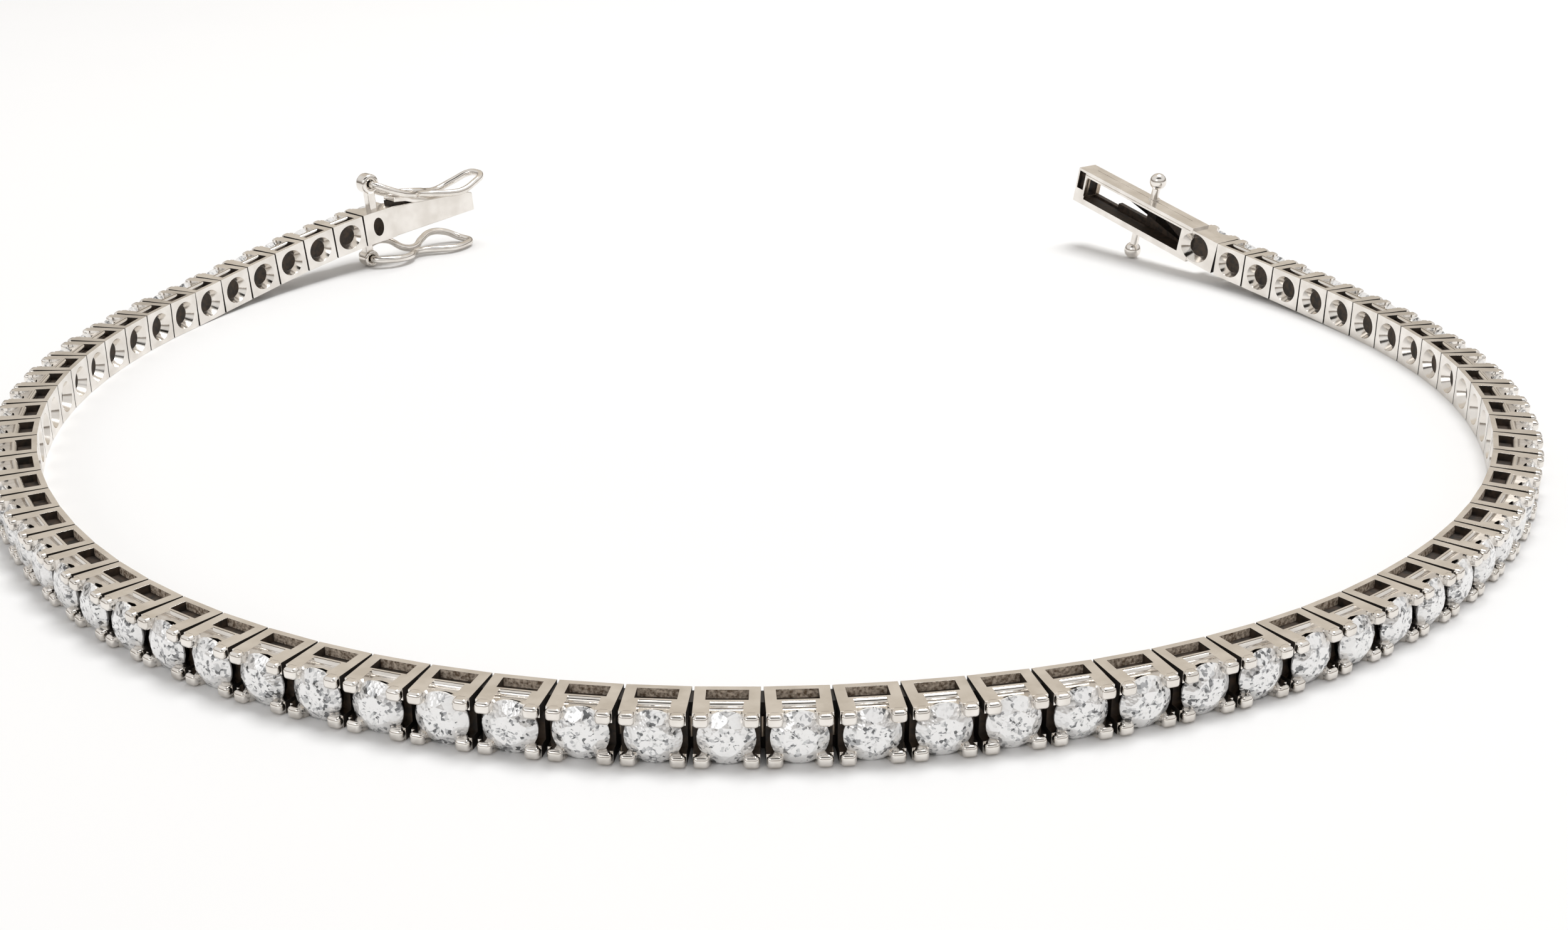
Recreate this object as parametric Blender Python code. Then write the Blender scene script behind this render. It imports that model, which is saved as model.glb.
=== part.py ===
"""Tennis bracelet, unfastened, standing on its edge as an open C.

Units are metres, +Z is up and the stones face outward. The row of box links runs from the
clasp's tongue (the left end) round the front to the clasp's box (the right end). Each link is
built once in its own axes, X along the row, Y towards the wrist and Z up from its underside,
with Y = 0 on the line of the link hinges, and is then set along the route.
"""
import math

import bmesh
import bpy
import numpy as np
from mathutils import Matrix, Vector

# Stones
STONE_DIAMETER = 0.00206
STONE_SIDES = 8
TABLE_SHARE = 0.56
CROWN_HEIGHT = 0.00032
PAVILION_SHOWN = 0.00034
PAVILION_SHARE = 0.80

# Links
ROW_LINKS = 69
END_WALL_MARGIN = 0.00015
SIDE_MARGIN = 0.00002
LINK_GAP = 0.00014
HINGE_DEPTH = 0.00075
BACK_PLATE = 0.0003
WINDOW_DEPTH = 0.0007
GALLERY_DEPTH = 0.00048
POST_WIDTH = 0.00044
BACK_HOLE_RIM = 0.00034
BACK_HOLE_WIDTH = 0.0014
CLAW_WIDTH = 0.00046
CLAW_THICKNESS = 0.0004
CLAW_RISE = 0.00016
KNUCKLE_WIDTH = 0.00044
KNUCKLE_HEIGHT = 0.0008
KNUCKLE_GAP_SHARE = 0.25
FLUSH_INSET = 0.00003

# Route of the row: the way it heads, in degrees, at even shares of its length
ROUTE_HEADINGS = (-133.0, -113.6, -92.0, -68.9, -48.7, -25.1, -2.2, 17.6, 40.7, 62.3, 85.5, 109.7, 127.0)

# Ends that stand clear of the surface: links over which each end rises, and the box's slope
TONGUE_LIFT_LINKS = 7.0
TONGUE_LIFT_EASE = 1.0
BOX_LIFT_LINKS = 5.5
BOX_SLOPE = 11.5

# Clasp box
BOX_LENGTH = 0.0104
BOX_OVERHANG = 0.00013
BOX_THICKNESS = 0.0015
BOX_BASE = 0.0007
BOX_RAIL = 0.00046
BOX_TIP_BAR = 0.0009
BOX_OUTER_WALL = 0.00036
BOX_OUTER_WALL_SHARE = 0.45
MOUTH_WALL = 0.00036
UPPER_PEG_SHARE = 0.42
LOWER_PEG_SHARE = 0.47
UPPER_PEG_DEPTH_SHARE = 0.72
LOWER_PEG_DEPTH_SHARE = 0.5
PEG_DIAMETER = 0.00052
UPPER_STEM = 0.0007
LOWER_STEM = 0.00097
BALL_DIAMETER = 0.0011
ROUND_SIDES = 12

# Clasp tongue
TONGUE_LENGTH = 0.0066
TONGUE_THICKNESS = 0.0013
UPPER_STANDOFF = 0.0018
LOWER_STANDOFF = 0.001
UPPER_HINGE_PLACE = 0.00005
LOWER_HINGE_PLACE = 0.00085
UPPER_BARREL_DIAMETER = 0.0013
LOWER_BARREL_DIAMETER = 0.0011
BARREL_LENGTH = 0.0009
BARREL_CLEARANCE = 0.0001
HINGE_POST = 0.00056

# Safety latches
LATCH_WIRE = 0.00048
LATCH_CLEARANCE = 0.0001
UPPER_LATCH_REACH = 0.0092
LOWER_LATCH_REACH = 0.0083
LATCH_WIDTH = 0.0031
LATCH_TAB_RISE = 0.0013
LATCH_SAG = 0.00045
REST_CLEARANCE = 0.0001

# Sizes that follow
STONE_RADIUS = STONE_DIAMETER / 2
LINK_LENGTH = STONE_DIAMETER + 2 * END_WALL_MARGIN
LINK_HEIGHT = STONE_DIAMETER + 2 * SIDE_MARGIN
LINK_MIDDLE = LINK_HEIGHT / 2
LINK_PITCH = LINK_LENGTH + LINK_GAP
SEAT_DEPTH = BACK_PLATE + WINDOW_DEPTH + GALLERY_DEPTH
TABLE_DEPTH = SEAT_DEPTH + PAVILION_SHOWN + CROWN_HEIGHT
CLAW_DEPTH = TABLE_DEPTH + CLAW_RISE
BARREL_BORE = LATCH_WIRE + 2 * LATCH_CLEARANCE
CUT_PAST = 2 * LINK_HEIGHT
PEG_PLACE = LINK_LENGTH / 2 + BOX_LENGTH * LOWER_PEG_SHARE
PEG_DROP = LINK_MIDDLE + BOX_OVERHANG + LOWER_STEM + BALL_DIAMETER / 2
BOX_RISE = math.radians(BOX_SLOPE)
BALL_HEIGHT = PEG_PLACE * math.sin(BOX_RISE) - PEG_DROP * math.cos(BOX_RISE)
BOX_END_LIFT = BALL_DIAMETER / 2 - LINK_MIDDLE - BALL_HEIGHT
ROW_END_LIFT = BOX_END_LIFT - math.sin(BOX_RISE) * LINK_PITCH / 2
TONGUE_END_LIFT = LOWER_STANDOFF + LOWER_BARREL_DIAMETER / 2 + BARREL_CLEARANCE

# Tongue blade: share of its length from the base, of the link's height and of its thickness
TONGUE_SHARES = (
    (0.00, 1.00, 1.00),
    (0.12, 0.97, 1.00),
    (0.94, 0.68, 0.90),
    (1.00, 0.60, 0.70),
)

# One side of a latch's wire: share of its reach from the hinge and of its half width
LATCH_SHARES = (
    (0.07, 0.83),
    (0.17, 1.00),
    (0.29, 0.86),
    (0.40, 0.40),
    (0.50, 0.36),
    (0.60, 0.62),
    (0.73, 0.86),
    (0.86, 0.74),
    (0.96, 0.38),
)
TAB_POINT = 6


def clear_scene():
    """Empty the file, whatever it held."""
    for thing in list(bpy.data.objects):
        bpy.data.objects.remove(thing, do_unlink=True)


def make_material(name, colour, roughness, metallic):
    """A plain Principled material for one piece."""
    material = bpy.data.materials.new(name)
    material.use_nodes = True
    shader = material.node_tree.nodes["Principled BSDF"]
    shader.inputs["Base Color"].default_value = (*colour, 1.0)
    shader.inputs["Roughness"].default_value = roughness
    shader.inputs["Metallic"].default_value = metallic
    return material


def make_object(name, shape):
    """Turn a bmesh into a named object, and free the bmesh."""
    mesh = bpy.data.meshes.new(name)
    shape.to_mesh(mesh)
    shape.free()
    thing = bpy.data.objects.new(name, mesh)
    bpy.context.scene.collection.objects.link(thing)
    return thing


def block(low, high):
    """A box between two corners."""
    shape = bmesh.new()
    size = Vector(high) - Vector(low)
    middle = (Vector(high) + Vector(low)) / 2
    bmesh.ops.create_cube(shape, size=1.0, matrix=Matrix.Translation(middle) @ Matrix.Diagonal((*size, 1.0)))
    return shape


def loft(rings, closed=False):
    """Skin a run of rings of points that all hold the same number, with flat ends or as a loop."""
    shape = bmesh.new()
    loops = [[shape.verts.new(point) for point in ring] for ring in rings]
    count = len(loops[0])
    following = loops[1:] + loops[:1] if closed else loops[1:]
    for ring, after in zip(loops, following):
        for index in range(count):
            other = (index + 1) % count
            shape.faces.new((ring[index], ring[other], after[other], after[index]))
    if not closed:
        shape.faces.new(loops[0])
        shape.faces.new(loops[-1])
    bmesh.ops.recalc_face_normals(shape, faces=shape.faces)
    return shape


def turned(stations, sides, axis, centre=(0.0, 0.0, 0.0)):
    """A solid of revolution from (place along the axis, radius) stations."""
    turn = Vector((0.0, 0.0, 1.0)).rotation_difference(Vector(axis)).to_matrix().to_4x4()
    place = Matrix.Translation(centre) @ turn
    rings = []
    for height, radius in stations:
        ring = []
        for index in range(sides):
            angle = math.tau * (index + 0.5) / sides
            ring.append(place @ Vector((radius * math.cos(angle), radius * math.sin(angle), height)))
        rings.append(ring)
    return loft(rings)


def combine(base, shape, operation):
    """Join a shape to an object, or cut it out, and keep the result as the object's mesh."""
    tool = make_object("tool", shape)
    modifier = base.modifiers.new("combine", "BOOLEAN")
    modifier.operation = operation
    modifier.solver = "EXACT"
    modifier.object = tool
    depsgraph = bpy.context.evaluated_depsgraph_get()
    mesh = bpy.data.meshes.new_from_object(base.evaluated_get(depsgraph))
    base.modifiers.clear()
    base.data = mesh
    bpy.data.objects.remove(tool, do_unlink=True)


def smooth_value(values, share):
    """Read a curve through evenly spaced values at a share of its length."""
    place = min(max(share, 0.0), 1.0) * (len(values) - 1)
    index = min(int(place), len(values) - 2)
    part = place - index
    slopes = np.gradient(np.array(values))
    hold = (1 + 2 * part) * (1 - part) ** 2 * values[index] + part ** 2 * (3 - 2 * part) * values[index + 1]
    bend = part * (1 - part) ** 2 * slopes[index] - part ** 2 * (1 - part) * slopes[index + 1]
    return float(hold + bend)


def end_rise(links_away, lift, over, ease):
    """Height of a link near an end that stands clear, and its slope along the row."""
    share = max(0.0, 1.0 - links_away / over)
    height = lift * share ** 2 * (1 + ease * (1 - share))
    slope = lift * (2 * share * (1 + ease) - 3 * ease * share ** 2) / (over * LINK_PITCH)
    return height, math.atan(slope)


def frame_at(place, heading, rise):
    """Axes of a piece: X runs along the heading and climbs by the rise about the link's mid-height."""
    turn = Matrix.Rotation(heading, 4, "Z") @ Matrix.Rotation(-rise, 4, "Y")
    middle = Vector((0.0, 0.0, LINK_MIDDLE))
    return Matrix.Translation(place + middle) @ turn @ Matrix.Translation(-middle)


def route_frames():
    """A placing matrix for each link, the tongue's base first and the link by the box last."""
    headings = [math.radians(smooth_value(ROUTE_HEADINGS, index / ROW_LINKS)) for index in range(ROW_LINKS + 1)]
    places = [Vector((0.0, 0.0, 0.0))]
    for before, after in zip(headings, headings[1:]):
        step = Vector((math.cos(before) + math.cos(after), math.sin(before) + math.sin(after), 0.0)) / 2
        places.append(places[-1] + step * LINK_PITCH)
    frames = []
    for index, (place, heading) in enumerate(zip(places, headings)):
        left, left_slope = end_rise(index, TONGUE_END_LIFT, TONGUE_LIFT_LINKS, TONGUE_LIFT_EASE)
        right, right_slope = end_rise(ROW_LINKS - index - 0.5, ROW_END_LIFT, BOX_LIFT_LINKS, 0.0)
        if index == ROW_LINKS:
            right, right_slope = BOX_END_LIFT, BOX_RISE
        height = Vector((0.0, 0.0, left + right))
        frames.append(frame_at(place + height, heading, right_slope - left_slope))
    return frames


def link_object(name, pierced):
    """One box link with its stone and four claws; a pierced one has side windows and knuckles too."""
    half = LINK_LENGTH / 2
    inner = HINGE_DEPTH
    seat = inner - SEAT_DEPTH
    far = inner + CUT_PAST
    middle = LINK_MIDDLE
    link = make_object(name, block((-half, inner - CLAW_DEPTH, 0.0), (half, inner, LINK_HEIGHT)))
    between_along = half - CLAW_WIDTH
    between_up = middle - CLAW_THICKNESS
    hole_foot = inner - BACK_PLATE - WINDOW_DEPTH / 2
    cuts = [
        block((-far, -far, middle - between_up), (far, seat, middle + between_up)),
        block((-between_along, -far, -far), (between_along, seat, far)),
        block((-BACK_HOLE_WIDTH / 2, hole_foot, BACK_HOLE_RIM),
              (BACK_HOLE_WIDTH / 2, far, LINK_HEIGHT - BACK_HOLE_RIM)),
    ]
    if pierced:
        across = half - POST_WIDTH
        window = inner - BACK_PLATE
        cuts.append(block((-across, window - WINDOW_DEPTH, -far), (across, window, far)))
    for cut in cuts:
        combine(link, cut, "DIFFERENCE")
    girdle = PAVILION_SHOWN - seat
    stone = turned(((-seat - GALLERY_DEPTH / 2, STONE_RADIUS * PAVILION_SHARE),
                    (girdle, STONE_RADIUS),
                    (girdle + CROWN_HEIGHT, STONE_RADIUS * TABLE_SHARE)),
                   STONE_SIDES, (0.0, -1.0, 0.0), (0.0, 0.0, middle))
    combine(link, stone, "UNION")
    if pierced:
        reach = half + LINK_GAP * KNUCKLE_GAP_SHARE
        for side in (-1, 1):
            ends = sorted((side * (half - POST_WIDTH / 2), side * reach))
            combine(link, block((ends[0], -KNUCKLE_WIDTH / 2, middle - KNUCKLE_HEIGHT / 2),
                                (ends[1], KNUCKLE_WIDTH / 2, middle + KNUCKLE_HEIGHT / 2)), "UNION")
    return link


def end_cap(faces, side):
    """The flat end of a link's knuckle, on the side before (-1) or after (1)."""
    return max(faces, key=lambda face: (round(side * face.calc_center_median().x, 7), side * face.normal.x))


def joined_row(name, link, frames):
    """A run of links fused into one closed body through their knuckles."""
    row = bmesh.new()
    last_cap = None
    for index, frame in enumerate(frames):
        standing = set(row.faces)
        row.from_mesh(link.data)
        faces = [face for face in row.faces if face not in standing]
        before = end_cap(faces, -1)
        after = end_cap(faces, 1)
        corners = {vert for face in faces for vert in face.verts}
        front_cap = sorted(before.verts, key=lambda vert: (round(vert.co.y, 7), vert.co.z))
        back_cap = sorted(after.verts, key=lambda vert: (round(vert.co.y, 7), vert.co.z))
        bmesh.ops.transform(row, matrix=frame, verts=list(corners))
        spare = []
        if last_cap:
            spare.append(before)
            for first, second in ((0, 1), (1, 3), (3, 2), (2, 0)):
                row.faces.new((last_cap[first], last_cap[second], front_cap[second], front_cap[first]))
        if index < len(frames) - 1:
            spare.append(after)
        bmesh.ops.delete(row, geom=spare, context="FACES_ONLY")
        last_cap = back_cap
    bmesh.ops.recalc_face_normals(row, faces=row.faces)
    return make_object(name, row)


def ball_peg(along, depth, face, side, stem):
    """A ball on a stem, standing out of a clasp box's upper (1) or lower (-1) face."""
    radius = BALL_DIAMETER / 2
    middle = stem + radius
    stations = [(-BOX_RAIL / 2, PEG_DIAMETER / 2)]
    rows = ROUND_SIDES // 2
    first = math.asin(PEG_DIAMETER / BALL_DIAMETER)
    for index in range(rows):
        angle = first + (math.pi - first) * index / rows
        stations.append((middle - radius * math.cos(angle), radius * math.sin(angle)))
    stations.append((middle + radius, PEG_DIAMETER / 8))
    return turned(stations, ROUND_SIDES, (0.0, 0.0, side), (along, depth, face))


def clasp_box(last_frame):
    """The clasp's open box on its base link, with two ball pegs; it stands on the lower ball."""
    box = link_object("clasp_box", pierced=False)
    start = LINK_LENGTH / 2 - POST_WIDTH / 2
    end = LINK_LENGTH / 2 + BOX_LENGTH
    low = -BOX_OVERHANG
    high = LINK_HEIGHT + BOX_OVERHANG
    inner = HINGE_DEPTH + FLUSH_INSET
    outer = inner - BOX_THICKNESS
    frame = block((start, outer, low), (end, inner, high))
    tip_edges = [edge for edge in frame.edges if min(vert.co.x for vert in edge.verts) > start + BOX_BASE]
    bmesh.ops.bevel(frame, geom=tip_edges, offset=MOUTH_WALL / 2, segments=1, affect="EDGES")
    combine(box, frame, "UNION")
    hall_start = LINK_LENGTH / 2 + BOX_BASE
    tip = end - BOX_TIP_BAR
    hall = (low + BOX_RAIL, high - BOX_RAIL)
    wall_end = hall_start + (tip - hall_start) * BOX_OUTER_WALL_SHARE
    combine(box, block((hall_start, outer + BOX_OUTER_WALL, hall[0]), (tip, inner + CUT_PAST, hall[1])),
            "DIFFERENCE")
    combine(box, block((wall_end, outer - CUT_PAST, hall[0]), (tip, inner, hall[1])), "DIFFERENCE")
    combine(box, block((tip - MOUTH_WALL, outer + MOUTH_WALL, hall[0] + MOUTH_WALL / 2),
                       (end + CUT_PAST, inner - MOUTH_WALL, hall[1] - MOUTH_WALL / 2)), "DIFFERENCE")
    upper_place = LINK_LENGTH / 2 + BOX_LENGTH * UPPER_PEG_SHARE
    upper_depth = inner - BOX_THICKNESS * UPPER_PEG_DEPTH_SHARE
    lower_depth = inner - BOX_THICKNESS * LOWER_PEG_DEPTH_SHARE
    combine(box, ball_peg(upper_place, upper_depth, high, 1, UPPER_STEM), "UNION")
    combine(box, ball_peg(PEG_PLACE, lower_depth, low, -1, LOWER_STEM), "UNION")
    box.matrix_world = last_frame
    return box


def clasp_tongue(first_frame):
    """The tongue with its own stone at the base and a hinge barrel above and below it."""
    tongue = link_object("clasp_tongue", pierced=False)
    inner = HINGE_DEPTH - FLUSH_INSET
    middle = LINK_MIDDLE
    start = -LINK_LENGTH / 2 + POST_WIDTH / 2
    reach = TONGUE_LENGTH + POST_WIDTH / 2
    rings = []
    foot = FLUSH_INSET
    for along, tall, thick in TONGUE_SHARES:
        top = (LINK_HEIGHT - FLUSH_INSET) * tall
        place = start - along * reach
        outer = inner - TONGUE_THICKNESS * thick
        rings.append([Vector((place, outer, foot)), Vector((place, inner, foot)),
                      Vector((place, inner, top)), Vector((place, outer, top))])
    combine(tongue, loft(rings), "UNION")
    for side in (-1, 1):
        centre = barrel_centre(side)
        ends = sorted((middle + side * (middle - BACK_PLATE), centre.z))
        combine(tongue, block((centre.x - HINGE_POST / 2, centre.y - BARREL_LENGTH / 3, ends[0]),
                              (centre.x + HINGE_POST / 2, centre.y + BARREL_LENGTH / 3, ends[1])), "UNION")
        half = BARREL_LENGTH / 2
        radius = (UPPER_BARREL_DIAMETER if side > 0 else LOWER_BARREL_DIAMETER) / 2
        combine(tongue, turned(((-half, radius), (half, radius)), ROUND_SIDES, (0.0, 1.0, 0.0), centre), "UNION")
        combine(tongue, turned(((-2 * half, BARREL_BORE / 2), (2 * half, BARREL_BORE / 2)),
                               ROUND_SIDES, (0.0, 1.0, 0.0), centre), "DIFFERENCE")
    tongue.matrix_world = first_frame
    return tongue


def barrel_centre(side):
    """Middle of the hinge barrel above (1) or below (-1) the tongue's base, in the base's axes."""
    depth = HINGE_DEPTH - TONGUE_THICKNESS / 2
    if side > 0:
        return Vector((UPPER_HINGE_PLACE, depth, LINK_HEIGHT + UPPER_STANDOFF))
    return Vector((LOWER_HINGE_PLACE, depth, -LOWER_STANDOFF))


def latch_path(reach, tab_rise, sag):
    """Middle line of a latch's wire, a closed loop in the latch's own axes with X to its tip."""
    bar = BARREL_LENGTH / 2 + LATCH_CLEARANCE + LATCH_WIRE / 2
    side = [(0.0, bar / 2), (0.0, bar)]
    side += [(share * reach, width * LATCH_WIDTH / 2) for share, width in LATCH_SHARES]
    points = [Vector((along, across, 0.0)) for along, across in side]
    points.append(Vector((reach - LATCH_WIRE / 2, 0.0, 0.0)))
    points += [Vector((point.x, -point.y, 0.0)) for point in reversed(points[:-1])]
    tab_start = reach * LATCH_SHARES[TAB_POINT][0]
    for point in points:
        share = min(point.x / tab_start, 1.0)
        point.z = tab_rise * max(0.0, point.x - tab_start) / (reach - tab_start)
        point.z -= 4 * sag * share * (1 - share)
    return points


def latch(name, hinge, towards, tilt, reach, tab_rise, sag):
    """A bent wire loop on its hinge: it runs towards the tongue's tip, tilted from that way."""
    points = latch_path(reach, tab_rise, sag)
    count = len(points)
    rings = []
    for index, point in enumerate(points):
        ahead = (points[(index + 1) % count] - point).normalized()
        behind = (point - points[index - 1]).normalized()
        along = (ahead + behind).normalized()
        spread = 1.0 / max(along.dot(ahead), 0.5)
        across = along.cross(Vector((0.0, 0.0, 1.0))).normalized()
        up = across.cross(along)
        ring = []
        for step in range(6):
            angle = math.tau * (step + 0.5) / 6
            offset = across * math.cos(angle) * spread + up * math.sin(angle)
            ring.append(point + offset * LATCH_WIRE / 2)
        rings.append(ring)
    thing = make_object(name, loft(rings, closed=True))
    turn = towards.to_3x3().to_4x4()
    thing.matrix_world = Matrix.Translation(hinge) @ turn @ Matrix.Rotation(math.pi, 4, "Z")
    thing.matrix_world = thing.matrix_world @ Matrix.Rotation(-tilt, 4, "Y")
    return thing


def safety_latches(first_frame):
    """The upper latch, laid down over the tongue, and the lower one, with its tip on the surface."""
    upper = first_frame @ barrel_centre(1)
    lower = first_frame @ barrel_centre(-1)
    rest = UPPER_LATCH_REACH * LATCH_SHARES[TAB_POINT][0]
    share = (rest - UPPER_HINGE_PLACE - LINK_LENGTH / 2) / TONGUE_LENGTH
    (before, before_tall, _), (after, after_tall, _) = TONGUE_SHARES[1:3]
    tall = before_tall + (after_tall - before_tall) * (share - before) / (after - before)
    drop = LINK_HEIGHT * (1 - tall) + UPPER_STANDOFF - LATCH_WIRE / 2 - REST_CLEARANCE
    upper_tilt = -math.asin(drop / rest)
    climb = math.asin(-first_frame.col[0].z)
    lower_tilt = -climb + math.asin((LATCH_WIRE / 2 - lower.z) / (LOWER_LATCH_REACH - LATCH_WIRE / 2))
    return [
        latch("upper_safety_latch", upper, first_frame, upper_tilt, UPPER_LATCH_REACH, LATCH_TAB_RISE, LATCH_SAG),
        latch("lower_safety_latch", lower, first_frame, lower_tilt, LOWER_LATCH_REACH, 0.0, 0.0),
    ]


def stand_at_origin(things):
    """Move the whole part so that the middle of its box's underside is at the origin."""
    bpy.context.view_layer.update()
    corners = np.array([thing.matrix_world @ vert.co for thing in things for vert in thing.data.vertices])
    low = corners.min(axis=0)
    high = corners.max(axis=0)
    shift = Vector((-(low[0] + high[0]) / 2, -(low[1] + high[1]) / 2, -low[2]))
    for thing in things:
        thing.location = thing.location + shift


def build_bracelet():
    """Build every piece, finish it and stand the part at the origin."""
    clear_scene()
    frames = route_frames()
    half = (ROW_LINKS + 1) // 2
    link = link_object("link", pierced=True)
    pieces = [
        joined_row("stone_row_left", link, frames[1:half]),
        joined_row("stone_row_right", link, frames[half:-1]),
    ]
    bpy.data.objects.remove(link, do_unlink=True)
    pieces.append(clasp_tongue(frames[0]))
    pieces.append(clasp_box(frames[-1]))
    pieces += safety_latches(frames[0])
    stand_at_origin(pieces)
    for piece in pieces:
        stones = piece.name.startswith("stone_row")
        colour = (0.86, 0.84, 0.83) if stones else (0.83, 0.77, 0.71)
        piece.data.materials.clear()
        piece.data.materials.append(make_material(piece.name, colour, 0.18, 0.9))
    return pieces


build_bracelet()
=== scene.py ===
"""Dressed tennis bracelet: settings, cut stones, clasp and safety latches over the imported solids.

Sizes of the pieces are in millimetres. Each piece is modelled at the origin in the axes of its link,
X along the row, Y towards the wrist and Z up from the underside, and is then set on the route.
"""
import logging
import math
from dataclasses import dataclass, field
from enum import Enum
from typing import Callable, Sequence

import bpy
import numpy as np
from mathutils import Matrix, Vector


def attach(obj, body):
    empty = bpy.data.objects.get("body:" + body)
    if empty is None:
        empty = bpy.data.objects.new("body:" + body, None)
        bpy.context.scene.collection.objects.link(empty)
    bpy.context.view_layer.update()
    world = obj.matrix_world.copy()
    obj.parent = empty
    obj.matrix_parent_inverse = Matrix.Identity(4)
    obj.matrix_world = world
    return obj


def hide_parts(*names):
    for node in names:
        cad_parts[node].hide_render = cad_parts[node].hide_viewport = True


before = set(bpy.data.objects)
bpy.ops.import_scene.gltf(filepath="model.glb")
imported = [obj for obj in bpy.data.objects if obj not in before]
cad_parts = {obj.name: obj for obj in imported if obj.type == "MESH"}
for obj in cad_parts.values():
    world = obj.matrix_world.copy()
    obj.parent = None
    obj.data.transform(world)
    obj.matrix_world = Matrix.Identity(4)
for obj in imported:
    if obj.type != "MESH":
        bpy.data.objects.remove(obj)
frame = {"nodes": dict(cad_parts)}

LOG = logging.getLogger("bracelet")
Thing = bpy.types.Object
Point = tuple[float, float, float]
Pair = tuple[float, float]
METRES = 0.001
MIDDLE = 1.05  # height of a link's middle, and of its stone's
PAST = 1.0  # how far a cutting tool reaches past the piece
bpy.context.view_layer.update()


class Side(Enum):
    """The two faces of the row, by the way each one looks."""

    UPPER = 1
    LOWER = -1


class Hole(Enum):
    """The opening in a link's back."""

    ROW = "row"
    TONGUE = "tongue"
    BOX = "box"


class Bench:
    """Modelling by operators on one object at a time."""

    @staticmethod
    def only(thing: Thing) -> None:
        """Select one object and make it active."""
        bpy.ops.object.select_all(action="DESELECT")
        thing.select_set(True)
        bpy.context.view_layer.objects.active = thing

    @staticmethod
    def named(name: str) -> Thing:
        """Name the shape just added, and put its place and size into its mesh."""
        thing = bpy.context.active_object
        thing.name = name
        bpy.ops.object.transform_apply(location=True, rotation=True, scale=True)
        return thing

    @staticmethod
    def block(name: str, low: Sequence[float], high: Sequence[float]) -> Thing:
        """Add a box between two corners.

        Args:
            name: The object's name.
            low: Its lowest corner.
            high: Its highest corner.

        Returns:
            The box.
        """
        bpy.ops.object.select_all(action="DESELECT")
        bpy.ops.mesh.primitive_cube_add(size=1.0, location=(Vector(low) + Vector(high)) / 2)
        bpy.context.active_object.scale = Vector(high) - Vector(low)
        return Bench.named(name)

    @staticmethod
    def rod(name: str, radius: float, start: Sequence[float], end: Sequence[float], sides: int = 24,
            end_radius: float | None = None) -> Thing:
        """Add a round rod or a cone between two points.

        Args:
            name: The object's name.
            radius: Radius at the start.
            start: Middle of the first end.
            end: Middle of the second end.
            sides: Number of sides.
            end_radius: Radius at the second end, if it differs.

        Returns:
            The rod.
        """
        way = Vector(end) - Vector(start)
        turn = Vector((0.0, 0.0, 1.0)).rotation_difference(way)
        bpy.ops.object.select_all(action="DESELECT")
        bpy.ops.mesh.primitive_cone_add(vertices=sides, radius1=radius, depth=way.length,
                                        radius2=radius if end_radius is None else end_radius,
                                        location=(Vector(start) + Vector(end)) / 2, rotation=turn.to_euler())
        return Bench.named(name)

    @staticmethod
    def ball(name: str, radius: float, centre: Sequence[float]) -> Thing:
        """Add a round ball."""
        bpy.ops.object.select_all(action="DESELECT")
        bpy.ops.mesh.primitive_uv_sphere_add(segments=28, ring_count=14, radius=radius, location=centre)
        return Bench.named(name)

    @staticmethod
    def enter(thing: Thing) -> None:
        """Go into edit mode with the whole piece selected."""
        Bench.only(thing)
        bpy.ops.object.mode_set(mode="EDIT")
        bpy.ops.mesh.select_all(action="SELECT")

    @staticmethod
    def pick_faces(thing: Thing, wanted: Callable[[bpy.types.MeshPolygon], bool]) -> None:
        """Go into edit mode with the wanted faces selected and no others."""
        Bench.enter(thing)
        bpy.ops.mesh.select_mode(type="FACE")
        bpy.ops.mesh.select_all(action="DESELECT")
        bpy.ops.object.mode_set(mode="OBJECT")
        for face in thing.data.polygons:
            face.select = wanted(face)
        bpy.ops.object.mode_set(mode="EDIT")

    @staticmethod
    def leave() -> None:
        """Go back to object mode."""
        bpy.ops.object.mode_set(mode="OBJECT")

    @staticmethod
    def draw_out(thing: Thing, along: float, depths: Pair, heights: Pair) -> None:
        """Lengthen a four-sided bar at the end that looks towards -X.

        Args:
            thing: The bar.
            along: Place of its new end.
            depths: The new end's two sides along Y.
            heights: Its lower and its upper side.
        """
        Bench.pick_faces(thing, lambda face: face.normal.x < -0.9)
        bpy.ops.mesh.extrude_region_move(TRANSFORM_OT_translate={"value": (-0.5, 0.0, 0.0)})
        Bench.leave()
        ahead = min(vert.co.x for vert in thing.data.vertices)
        corners = [vert for vert in thing.data.vertices if vert.co.x < ahead + 0.01]
        middle = sum((vert.co for vert in corners), Vector()) / len(corners)
        for vert in corners:
            vert.co = (along, depths[vert.co.y > middle.y], heights[vert.co.z > middle.z])

    @staticmethod
    def apply(thing: Thing, kind: str, **values: object) -> Thing:
        """Give a piece a modifier with the given settings, and apply it."""
        Bench.only(thing)
        modifier = thing.modifiers.new(kind, kind)
        for name, value in values.items():
            setattr(modifier, name, value)
        bpy.ops.object.modifier_apply(modifier=modifier.name)
        return thing

    @staticmethod
    def carve(base: Thing, tools: Sequence[Thing]) -> Thing:
        """Cut tool shapes out of a base, one after another, and take the tools away."""
        for tool in tools:
            Bench.apply(base, "BOOLEAN", operation="DIFFERENCE", solver="EXACT", object=tool)
            bpy.data.objects.remove(tool, do_unlink=True)
        return base

    @staticmethod
    def soften(thing: Thing, width: float, segments: int = 2) -> Thing:
        """Round a piece's sharp edges.

        Args:
            thing: The piece.
            width: Width of the rounding.
            segments: Number of its steps.

        Returns:
            The same piece.
        """
        return Bench.apply(thing, "BEVEL", width=width, segments=segments, limit_method="ANGLE",
                           angle_limit=math.radians(35.0))

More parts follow.
